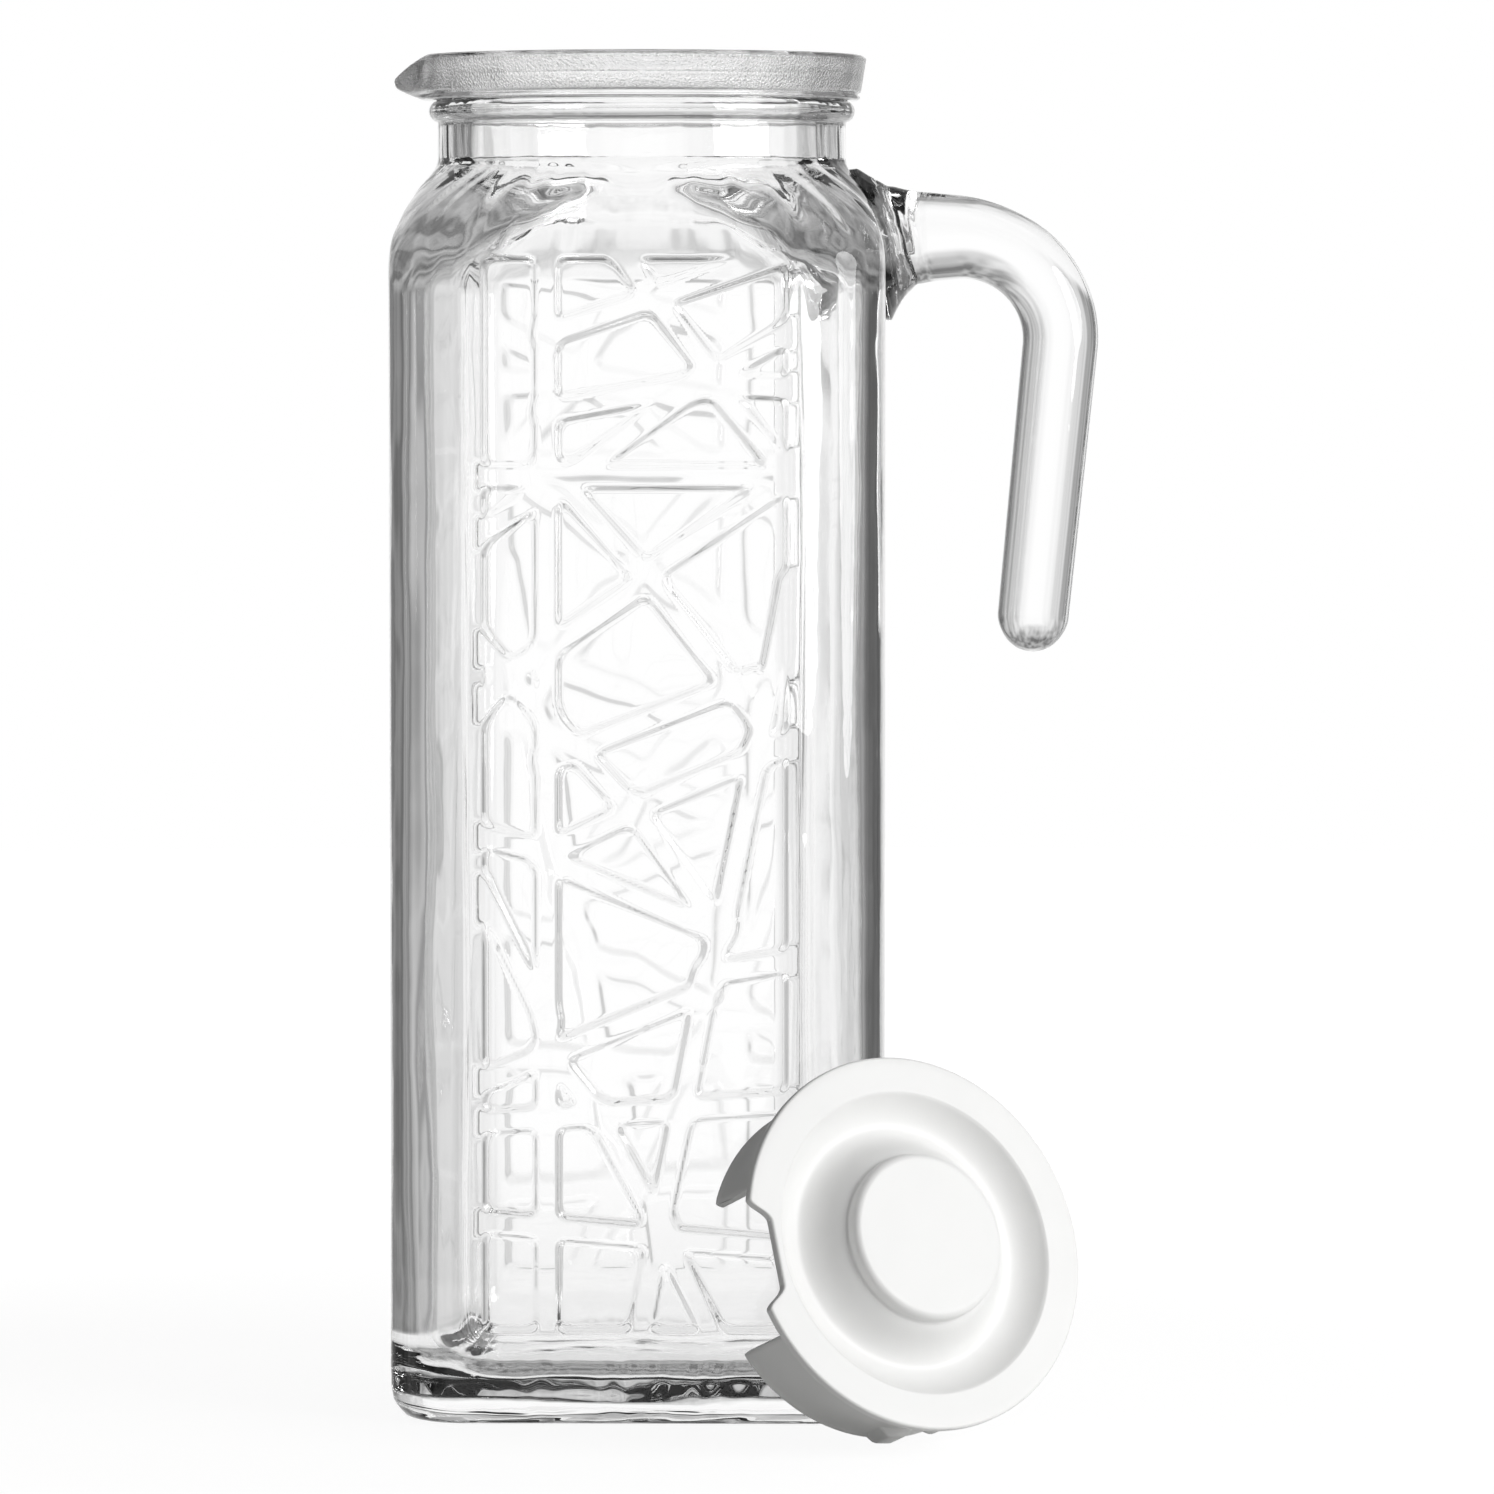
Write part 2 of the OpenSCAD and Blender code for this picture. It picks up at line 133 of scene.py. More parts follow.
cameraData = bpy.data.cameras.new("camera")
cameraData.sensor_fit = "HORIZONTAL"
cameraData.sensor_width = 36
cameraData.lens = 36 * cameraSetup["focalPixels"] / cameraSetup["framePixels"]
cameraData.clip_start, cameraData.clip_end = 0.05, 20
camera = bpy.data.objects.new("camera", cameraData)
camera.location = cameraSetup["place"]
camera.rotation_euler = (math.radians(90 - cameraSetup["down"]), 0, math.radians(cameraSetup["left"]))
bpy.context.scene.collection.objects.link(camera)
bpy.context.scene.camera = camera
bpy.context.scene.view_settings.view_transform = "Standard"
print("camera set")


# The pitcher's sizes in mm, mostly those of the solids that it replaces
jug = {
    "halfWidth": 46.25, "cornerR": 14, "height": 218, "wall": 4.3, "innerCornerR": 17, "base": 8,
    "baseEdgeR": 6, "floorEdgeR": 8, "basePush": 1.6,
    "shoulder": 17.5, "shoulderDrop": 4, "footBlend": 0.22,
    "neckR": 38.7, "neckTop": 242.3, "beadR": 2.1, "beadOut": 1.7,
    "rimFootZ": 246.5, "rimFootR": 41.3, "footLine": 0.6, "rimR": 42.6, "rimEdgeR": 1.2, "top": 255,
    "boreR": 33.2, "seatZ": 249, "seatR": 35.5, "lidT": 2, "mouthR": 37.6,
    "spoutReach": 47, "spoutHalfWidth": 12.5,
    "panelHalf": 28.6, "panelZ": 17.8, "panelHeight": 199.2,
    "grid": 0.44, "cornerSteps": 16, "innerStep": 2.0,
}
# Up the shoulder: shares of the height, of the way in, and of the way to a round
shoulderShares = [
    [0, 0, 0], [0.12, 0.065, 0.07], [0.25, 0.155, 0.18],
    [0.42, 0.29, 0.34], [0.6, 0.51, 0.54], [1, 1, 1],
]

# The pressed pattern: bands flush with the face, and fields between them. The bands'
# ends are shares of the panel's width and height
pattern = {"bandWidth": 3.0, "fieldDepth": 0.85, "ramp": 1.25, "rampBehind": 2.1, "cornerBlend": 2.0,
           "lowerSteepness": 1.35}
bandShares = [
    [[0.215, 0], [0.215, 1]], [[0.46, 1], [0.74, 0.895]], [[0.215, 0.927], [1, 1.003]],
    [[0.215, 0.856], [0.71, 0.882]], [[0.71, 0.882], [1, 0.878]], [[0.71, 0.882], [1, 0.93]],
    [[0.215, 0.78], [0.71, 0.882]], [[0.77, 0.876], [0.99, 0.8]], [[0, 0.796], [1, 0.796]],
    [[0.215, 0.805], [0.545, 0.7]], [[0.545, 0.708], [1, 0.795]], [[0.545, 0.7], [0.09, 0.612]],
    [[0.545, 0.7], [0.89, 0.575]], [[0.215, 0.785], [0, 0.742]], [[0, 0.642], [0.09, 0.612]],
    [[0, 0.58], [0.09, 0.612]], [[0.09, 0.612], [0.49, 0.487]], [[1, 0.697], [0.9, 0.545]],
    [[0.9, 0.545], [0.785, 0.38]], [[0.215, 0.533], [0.88, 0.608]], [[0.49, 0.487], [1, 0.549]],
    [[0.49, 0.485], [0.215, 0.447]], [[0.49, 0.49], [0.77, 0.378]], [[0.215, 0.44], [0.77, 0.373]],
    [[0.215, 0.447], [0, 0.463]], [[0, 0.415], [0.215, 0.29]], [[0.785, 0.38], [0.73, 0.325]],
    [[0.73, 0.318], [0, 0.233]], [[0.735, 0.334], [1, 0.347]], [[0.735, 0.33], [0.655, 0.21]],
    [[0.215, 0.262], [0.38, 0.203]], [[0, 0.196], [1, 0.215]], [[0.38, 0.203], [0.575, 0.1]],
    [[0.655, 0.21], [0.575, 0.1]], [[0, 0.103], [1, 0.078]], [[0.58, 0.1], [0.515, 0]],
    [[0.575, 0.1], [0.75, 0]],
]


# How far the pressed fields lie below the face, s across and z up
def fieldDepth(s, z, ramp):
    wide, high = 2 * jug["panelHalf"], jug["panelHeight"]
    x, y = s + jug["panelHalf"], z - jug["panelZ"]
    k = pattern["cornerBlend"]

    def blendMin(a, b):
        h = np.clip(0.5 + 0.5 * (b - a) / k, 0, 1)
        return b + (a - b) * h - k * h * (1 - h)

    d = blendMin(np.minimum(x, wide - x), np.minimum(pattern["lowerSteepness"] * y, high - y))
    for (x0, y0), (x1, y1) in bandShares:
        a = np.array([x0 * wide, y0 * high])
        way = np.array([x1 * wide, y1 * high]) - a
        t = np.clip(((x - a[0]) * way[0] + (y - a[1]) * way[1]) / (way @ way), 0, 1)
        off = np.hypot(x - a[0] - t * way[0], y - a[1] - t * way[1]) - pattern["bandWidth"] / 2
        d = blendMin(d, off)
    return pattern["fieldDepth"] * smoothStep(d / ramp)


# Distance from the axis to a rounded square's outline, along unit directions
def outline(half, cornerR, ux, uy):
    half, cornerR = np.asarray(half, float), np.asarray(cornerR, float)
    a, b = np.maximum(abs(ux), abs(uy)), np.minimum(abs(ux), abs(uy))
    core = half - cornerR
    flat = half / a
    dot = core * (a + b)
    arc = dot + np.sqrt(np.maximum(dot * dot - 2 * core * core + cornerR * cornerR, 0))
    return np.where(flat * b > core, arc, flat)


# The columns that all of the pitcher's rings share: fine even steps over each face, wider
# ones round the corners
def makeColumns():
    core = jug["halfWidth"] - jug["cornerR"]
    n = round(2 * jug["panelHalf"] / jug["grid"])
    across = np.linspace(-jug["panelHalf"], jug["panelHalf"], n + 1)
    across = np.concatenate([[-(core + jug["panelHalf"]) / 2], across, [(core + jug["panelHalf"]) / 2]])
    turns = np.radians(np.linspace(0, 90, jug["cornerSteps"] + 1))
    points, faces = [], []
    for k in range(4):
        c, s = round(math.cos(k * tau / 4)), round(math.sin(k * tau / 4))
        side = [(x, -jug["halfWidth"]) for x in across]
        side += [(core + jug["cornerR"] * math.sin(t), -core - jug["cornerR"] * math.cos(t)) for t in turns]
        points += [(x * c - y * s, x * s + y * c) for x, y in side]
        faces += [(k, x) for x in across] + [(-1, 0)] * len(turns)
    points = np.array(points)
    unit = points / np.linalg.norm(points, axis=1)[:, None]
    return unit, np.array([f[0] for f in faces]), np.array([f[1] for f in faces])


unit, faceOf, acrossOf = makeColumns()
ux, uy = unit[:, 0], unit[:, 1]
columns = len(unit)


def arc(middleR, middleZ, r, fromA, toA, steps):
    turns = np.radians(np.linspace(fromA, toA, steps))
    return [(middleR + r * math.cos(t), middleZ + r * math.sin(t)) for t in turns]


# Half width and corner radius of the shoulder, h from 0 at its foot to 1 at its top. The
# fire polish has softened the foot, so the curve begins a little below it
def shoulderAt(h, half, cornerR, endR):
    shares = np.array(shoulderShares)
    h = np.asarray(h, float)[..., None]
    near = np.clip(h + jug["footBlend"] * np.linspace(-1, 1, 13) * np.clip(1 - h, 0, 1), 0, 1)
    inset, rounding = (monotone(shares[:, 0], shares[:, i], near, flatEnds=True).mean(-1) for i in (1, 2))
    return half + (endR - half) * inset, cornerR + (endR - cornerR) * rounding


# Rings are (half width, corner radius, height). Round ones have the same value twice
def outerRings():
    half, cornerR = jug["halfWidth"], jug["cornerR"]
    rings = []
    foot = half - jug["baseEdgeR"]
    for share in (*np.arange(0.06, 0.78, 0.04), *np.linspace(0.78, 0.96, 14)):
        rings.append((foot * share, (cornerR - jug["baseEdgeR"]) * share + foot * (1 - share) * 0.3,
                      jug["basePush"] * (1 - smoothStep((share - 0.74) / 0.2))))
    for t in np.radians(np.linspace(0, 90, 9)):
        inset = jug["baseEdgeR"] * (1 - math.sin(t))
        rings.append((half - inset, cornerR - inset, jug["baseEdgeR"] * (1 - math.cos(t))))
    rings += [(half, cornerR, z) for z in np.arange(8, jug["panelZ"] - 1, 2)]
    rows = round((jug["height"] - jug["panelZ"] + 0.5) / jug["grid"])
    for z in np.linspace(jug["panelZ"] - 0.5, jug["height"], rows + 1):
        w, r = shoulderAt((z - jug["height"]) / jug["shoulder"], half, cornerR, jug["neckR"])
        rings.append((float(w), float(r), z))
    return rings


def shoulderRings(half, cornerR, endR, low, steps):
    out = []
    for h in np.linspace(0, 1, steps + 1)[1:]:
        w, r = shoulderAt(h, half, cornerR, endR)
        out.append((float(w), float(r), low + jug["shoulder"] * h))
    return out


# The round part as (radius, height), away from the spout and through its middle
def mouthRings():
    neckR = jug["neckR"]
    shoulderTop = jug["height"] + jug["shoulder"]
    plain = [(neckR, z) for z in np.linspace(shoulderTop + 0.5, jug["neckTop"] - 0.4, 9)]
    beadR = jug["beadR"]
    plain += arc(neckR + jug["beadOut"] - beadR, jug["neckTop"] + beadR, beadR, -78, 78, 13)
    plain += [(neckR + 0.15, jug["rimFootZ"] - 0.1), (neckR + 0.5, jug["rimFootZ"])]
    spout = list(plain)
    slope = (jug["rimR"] - jug["rimFootR"]) / (jug["top"] - jug["rimFootZ"])

    def face(z):
        return jug["rimFootR"] + slope * (z - jug["rimFootZ"])

    footR = face(jug["rimFootZ"])
    plain += [(footR - 0.4, jug["rimFootZ"]), (footR - 0.1, jug["rimFootZ"] + 0.12)]
    spout += [(41.0, jug["rimFootZ"]), (41.8, jug["rimFootZ"] + 0.2)]
    rows = np.concatenate([np.linspace(0.4, 2, 11), np.linspace(2.5, 7.3, 12)]) + jug["rimFootZ"]
    # The stippled face, with the mould's line round its foot
    lineZ = jug["rimFootZ"] + 1.1
    plain += [(face(z) - jug["footLine"] * math.exp(-((z - lineZ) / 0.3) ** 2), z) for z in rows]
    under = np.linspace(0, 1, len(rows))
    tip = jug["spoutReach"]
    spout += [(float(monotone([0, 0.5, 0.85, 1], [42.2, 45.0, tip - 0.35, tip], u)),
               float(monotone([0, 0.5, 0.85, 1], [246.85, 248.0, 249.0, 250.0], u))) for u in under]
    plain += arc(jug["rimR"] - jug["rimEdgeR"] - 0.05, jug["top"] - jug["rimEdgeR"], jug["rimEdgeR"], 12, 90, 6)
    spout += [(tip - 0.05, 250.4), (tip - 0.3, 250.8), (tip - 0.7, 251.1),
              (tip - 1.3, 251.25), (tip - 2, 251.3), (tip - 2.8, 251.3)]
    inner = jug["mouthR"]
    plain += [(41.0, jug["top"]), (40.2, jug["top"]), (39.4, jug["top"]), (inner + 1.0, jug["top"])]
    spout += [(43.2, 251.3), (42.0, 251.28), (40.8, 251.25), (39.7, 251.2)]
    plain += arc(inner + 0.95, jug["top"] - 0.9, 0.9, 100, 168, 4)
    spout += [(38.9, 251.15), (38.3, 251.1), (37.8, 251.05), (37.4, 251.0)]
    seatTop = jug["seatZ"] + jug["lidT"]
    plain += [(inner - 0.45, 253.2), (inner - 1.0, 252.3), (inner - 1.55, 251.6),
              (jug["seatR"] + 0.15, seatTop)]
    spout += [(36.9, 250.95), (36.5, 250.9), (36.1, 250.8), (35.75, 250.65)]
    seatR, seatZ, boreR = jug["seatR"], jug["seatZ"], jug["boreR"]
    both = [(seatR, seatTop - 0.6), (seatR, seatZ + 0.6), (seatR - 0.2, seatZ + 0.12), (seatR - 0.6, seatZ),
            (boreR + 0.6, seatZ), (boreR + 0.12, seatZ - 0.15), (boreR, seatZ - 0.7)]
    innerTop = jug["height"] - jug["shoulderDrop"] + jug["shoulder"]
    both += [(boreR, z) for z in np.linspace(seatZ - 2.5, innerTop + 1, 8)]
    return plain + both, spout + both


# How far the glass strays from its mould in mm, at each place
uneven = {"outside": 0.035, "inside": 0.19, "shoulder": 0.13, "foot": 0.06, "bottom": 0.11, "floor": 0.12}


# Slow waves of a pressed wall that was never ground: longer up the wall than across it
def waves(across, z, seed, finest=0.0):
    total = 0
    for wave, rise, size in ((27, 90, 1.0), (15.5, 140, 0.7), (9.7, 61, 0.35), (3.6, 240, finest)):
        seed += 1.7
        total = total + size * np.sin(tau * across / wave + seed * 2.3 + 0.9 * np.sin(tau * z / rise + seed))
        crossing = 0.6 * np.sin(tau * across / (wave * 2.7))
        total = total + 0.6 * size * np.sin(tau * z / (rise * 0.5) + seed * 3.1 + crossing)
    return total / 3


def makeJug():
    half, cornerR = jug["halfWidth"], jug["cornerR"]
    rings = outerRings() + shoulderRings(half, cornerR, jug["neckR"], jug["height"], 44)
    bodyRings = len(rings)
    plain, spout = mouthRings()
    innerHalf, innerCorner = half - jug["wall"], jug["innerCornerR"]
    low = jug["height"] - jug["shoulderDrop"]
    inside = shoulderRings(innerHalf, innerCorner, jug["boreR"], low, 22)[::-1]
    rows = int((low - jug["base"] - jug["floorEdgeR"]) / jug["innerStep"])
    for z in np.linspace(low, jug["base"] + jug["floorEdgeR"], rows):
        w, r = shoulderAt((z - low) / jug["shoulder"], innerHalf, innerCorner, jug["boreR"])
        inside.append((float(w), float(r), z))
    for t in np.radians(np.linspace(90, 0, 9))[1:]:
        inset, rise = jug["floorEdgeR"] * (1 - math.sin(t)), jug["floorEdgeR"] * (1 - math.cos(t))
        inside.append((innerHalf - inset, innerCorner - inset, jug["base"] + rise))
    floor, floorCorner = innerHalf - jug["floorEdgeR"], innerCorner - jug["floorEdgeR"]
    for share in np.linspace(0.96, 0.06, 24):
        inside.append((floor * share, floorCorner * share + floor * (1 - share) * 0.3, jug["base"]))

    # How much of the spout's middle section each column takes: it is round at its tip,
    # and falls off with the distance from its middle plane, at the rim's own radius
    rimReach, softTip = 44, 1.2
    y = abs(uy) * rimReach
    y = np.sqrt(y * y + softTip) - math.sqrt(softTip)
    spoutShare = np.where(ux < 0, np.clip(1 - y / jug["spoutHalfWidth"], 0, 1) ** 1.5, 0)

    def squareRing(ring):
        reach = outline(ring[0], ring[1], ux, uy)
        return np.stack([ux * reach, uy * reach, np.full(columns, ring[2])], -1)

    points = [squareRing(r) for r in rings]
    for (r0, z0), (r1, z1) in zip(plain, spout):
        r, z = r0 + (r1 - r0) * spoutShare, z0 + (z1 - z0) * spoutShare
        points.append(np.stack([ux * r, uy * r, z], -1))
    points += [squareRing(r) for r in inside]
    points = np.array(points)

    # Outside: the pressed fields of the front and the back, each sunk into its own face
    for k, ramp in ((0, pattern["ramp"]), (2, pattern["rampBehind"])):
        out = np.array([round(math.sin(k * tau / 4)), -round(math.cos(k * tau / 4)), 0.0])
        here = faceOf == k
        depth = fieldDepth(acrossOf[here][None, :], points[:bodyRings, here, 2], ramp)
        points[:bodyRings, here] -= depth[..., None] * out

    # The pressed skin is never dead flat, inside least of all
    total = len(points)
    innerFrom = bodyRings + len(plain)
    # Height, millimetres round the outline, and 1 at the corners
    level = points[:, :, 2]
    sweep = np.arctan2(uy, ux) * 52
    corner = smoothStep((np.minimum(abs(ux), abs(uy)) - 0.56) / 0.1)[None, :]
    skin = uneven["outside"] * (2.4 + waves(sweep[None, :], level, 0.3, 1.6 * corner))
    skin[innerFrom:] = uneven["inside"] * waves(sweep[None, :] * 0.8, level[innerFrom:], 4.0, 0.45 * corner)
    shoulder = smoothStep((level - jug["height"] + 6) / 8)
    drawn = waves(sweep[None, :] * 2.1, level * 2.6, 7.0)
    skin += np.where(level > jug["height"] - 6, uneven["shoulder"], 0) * shoulder * drawn
    skin[bodyRings:innerFrom] *= 0.5
    fade = smoothStep((level - 6) / 12)
    fade[innerFrom:] = smoothStep((level[innerFrom:] - jug["base"] - 1) / 14)
    flat = np.stack([ux, uy, np.zeros(columns)], -1)
    points -= (skin * fade)[..., None] * flat[None]

    # Round the foot, where the mould's two halves met the base plate, the glass is uneven
    foot = np.exp(-((level - 5) / 4) ** 2)
    foot[innerFrom:] = np.exp(-((level[innerFrom:] - 10) / 4) ** 2)
    ripple = np.sin(sweep * tau / 8.3 + 1.5 * np.sin(sweep * tau / 31)) + 0.7 * np.sin(sweep * tau / 4.9 + 2)
    foot = foot * (1 - 0.7 * corner)
    ripple = ripple[None, :] + 1.7 * np.sin(level * 1.9 + sweep[None, :] * 0.11) + 3.5
    points -= (uneven["foot"] * foot * ripple)[..., None] * flat[None]

    # Neither the floor nor the bottom was ever ground flat
    x, y = points[:, :, 0], points[:, :, 1]
    dents = np.sin(x / 2.9 + 1.3 * np.sin(y / 6.1)) + np.sin(y / 3.7 + 1.1 * np.sin(x / 5.3) + 1)
    pushed = uneven["bottom"] * level / jug["basePush"] * (dents - 2)
    points[:, :, 2] += np.where(level < jug["basePush"] + 0.01, pushed, 0)
    points[innerFrom:, :, 2] += uneven["floor"] * (dents * smoothStep((9.5 - level) / 1.5))[innerFrom:]

    points = points.reshape(-1, 3)
    bottom, floorMiddle = len(points), len(points) + 1
    points = np.vstack([points, [[0, 0, jug["basePush"]], [0, 0, jug["base"]]]])
    quads = ringQuads(total, columns)
    lastRing = (total - 1) * columns + np.arange(columns)
    caps = np.vstack([fan(np.arange(columns), bottom, False), fan(lastRing, floorMiddle, True)])
    return addMesh("pitcherBody", points, quads, caps)


jugPiece = makeJug()
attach(jugPiece, "jug")
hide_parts("jug_body")
print("pitcher body made,", len(jugPiece.data.polygons), "faces")


handle = {
    "rise": 1, "bendX": 14.5, "bendR": 18.6, "armSlope": 5, "legSlope": 5.6, "legLength": 51.2,
    "thick": 15.1, "tipThick": 13.4, "wide": 16.6, "tipWide": 14.8,
    "tipStep": 0.4, "fuse": 1.2, "sides": 96, "fluteDepth": 0.1, "seamDepth": 0.36, "seamWidth": 0.9,
    # The fillet to the wall over and under the arm: how high, from where and to where, how hollow
    "filletOver": (4.8, -4, 8, 2.2), "filletUnder": (6.6, 0, 9.5, 2.8),
    "raise": 2.9, "raiseLength": 24,
}


def makeHandle():
    arm, leg = math.radians(handle["armSlope"]), math.radians(handle["legSlope"])
    armWay, legWay = np.array([math.cos(arm), math.sin(arm)]), np.array([-math.sin(leg), -math.cos(leg)])
    legHeading = math.atan2(legWay[1], legWay[0])
    middle = np.array([handle["bendX"], handle["bendX"] * math.tan(arm) - handle["bendR"] / math.cos(arm)])
    # The sweep starts this far inside the wall's face
    root = 14
    tipR = handle["tipThick"] / 2

    def acrossWay(heading):
        return np.array([-math.sin(heading), math.cos(heading)])

    start, end = middle + handle["bendR"] * acrossWay(arm), middle + handle["bendR"] * acrossWay(legHeading)
    armLength = (start[0] + root) / armWay[0]
    turnLength = handle["bendR"] * (arm - legHeading)
    length = armLength + turnLength + handle["legLength"] + tipR
    solidLength = length - (root - 8)
    level = jug["height"] + handle["rise"]

    def lineAt(s):
        turned = s - armLength
        if turned < 0:
            return start + turned * armWay, arm
        if turned > turnLength:
            return end + (turned - turnLength) * legWay, legHeading
        h = arm + turned / turnLength * (legHeading - arm)
        return middle + handle["bendR"] * acrossWay(h), h

    turns = np.linspace(0, tau, handle["sides"], endpoint=False)

    def ring(s):
        place, heading = lineAt(s)
        q = (s - root + 8) / solidLength
        # The tip's dome, which starts with a small step in its slope
        along = max(0, (s - length + tipR) / tipR)
        dome = math.sqrt(max(0, 1 - (along + handle["tipStep"] * along * (1 - along) ** 2) ** 2))

        # Hot glass that was pressed on: a wavy seam that slants down the root, and soft
        # flutes that fan out between it and the wall
        out = s - root
        under = 0.5 - 0.5 * np.sin(turns)
        fillets = zip(handle["filletOver"], handle["filletUnder"])
        high, begin, end, power = (a + (b - a) * under for a, b in fillets)
        near = np.clip((end - out) / (end - begin), 0, 1)
        seam = 1.2 + 4.2 * under + 0.3 * np.sin(5 * turns + 0.8) + 0.15 * np.sin(11 * turns)
        flutes = np.sin(13 * turns + 0.5 * out) + 0.7 * np.sin(22 * turns + 2.3) - 1.7
        flutes = handle["fluteDepth"] * smoothStep((seam - out) / 1.5) * flutes
        flutes = flutes * (1 - under * smoothStep((near - 0.6) / 0.25))
        groove = handle["seamDepth"] * np.exp(-((out - seam) / handle["seamWidth"]) ** 2)
        raised = handle["raise"] * (1 - smoothStep(out / handle["raiseLength"]))
        raised = raised * np.clip(np.sin(turns), 0, 1) ** 2
        grow = high * near ** power + flutes - groove + raised
        thick = (handle["thick"] + (handle["tipThick"] - handle["thick"]) * q) / 2 * dome + grow
        wide = (handle["wide"] + (handle["tipWide"] - handle["wide"]) * q) / 2 * dome + grow
        up = acrossWay(heading)
        x = place[0] + thick * np.sin(turns) * up[0]
        z = place[1] + thick * np.sin(turns) * up[1]
        return np.stack([jug["halfWidth"] + x, wide * np.cos(turns), level + z], -1)

    # Each side line starts just inside the face of the wall's glass
    def wallX(z):
        h = np.clip((z - jug["height"]) / jug["shoulder"], -1, 1)
        return shoulderAt(h, jug["halfWidth"], jug["cornerR"], jug["neckR"])[0] - handle["fuse"]

    tries = np.linspace(0, root + 6, 240)
    tried = np.array([ring(s) for s in tries])
    outside = tried[:, :, 0] > wallX(tried[:, :, 2])
    firstOut = tries[np.argmax(outside, axis=0)]
    # From here on all side lines go together
    common = root + 9
    rings = []
    for share in np.linspace(0, 1, 32)[:-1]:
        stations = firstOut + (common - firstOut) * share
        rings.append(np.array([ring(s)[i] for i, s in enumerate(stations)]))
    rings += [ring(s) for s in np.linspace(common, length - tipR, 90)]
    rings += [ring(length - tipR + tipR * math.sin(t)) for t in np.radians(np.linspace(0, 88, 16))[1:]]
    count = len(rings)
    points = np.array(rings).reshape(-1, 3)
    first, last = len(points), len(points) + 1
    place = lineAt(length)[0]
    ends = [points[:handle["sides"]].mean(0), [jug["halfWidth"] + place[0], 0, level + place[1]]]
    points = np.vstack([points, ends])
    quads = ringQuads(count, handle["sides"])
    ringStart = np.arange(handle["sides"])
    ringEnd = (count - 1) * handle["sides"] + ringStart
    caps = np.vstack([fan(ringStart, first, False), fan(ringEnd, last, True)])
    return addMesh("pitcherHandle", points, quads, caps)


handlePiece = makeHandle()
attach(handlePiece, "jug")
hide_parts("handle")
print("handle made,", len(handlePiece.data.polygons), "faces")


# The lid in its own frame: the flat ring's top at height 0, the notch towards -X
lid = {
    "r": 34.95, "thick": 2, "wall": 1.8, "dishR": 28.3, "grooveR": 22.6, "grooveDepth": 4.6,
    "knobR": 15.6, "knobH": 4.9, "knobFoot": 2.2, "knobEdgeR": 1.3, "edgeR": 0.55,
    "skirtH": 19.9, "skirtR": 31.4, "skirtT": 1.6, "skirtOpen": 26.4, "lipOut": 0.5, "lipH": 1.2,
    "notchReach": 29.7, "notchHalf": 6.9, "notchMouthHalf": 10.8, "notchSoft": 1.8,
    "lugR": 32.95, "lugWidth": 8.6, "lugTip": 3.8, "lugH": 6, "lugAngles": (85, 107, 253, 275),
    "lean": 20.5, "turn": 33, "place": (51.9, -71.934, 37.8701), "sides": 240,
}


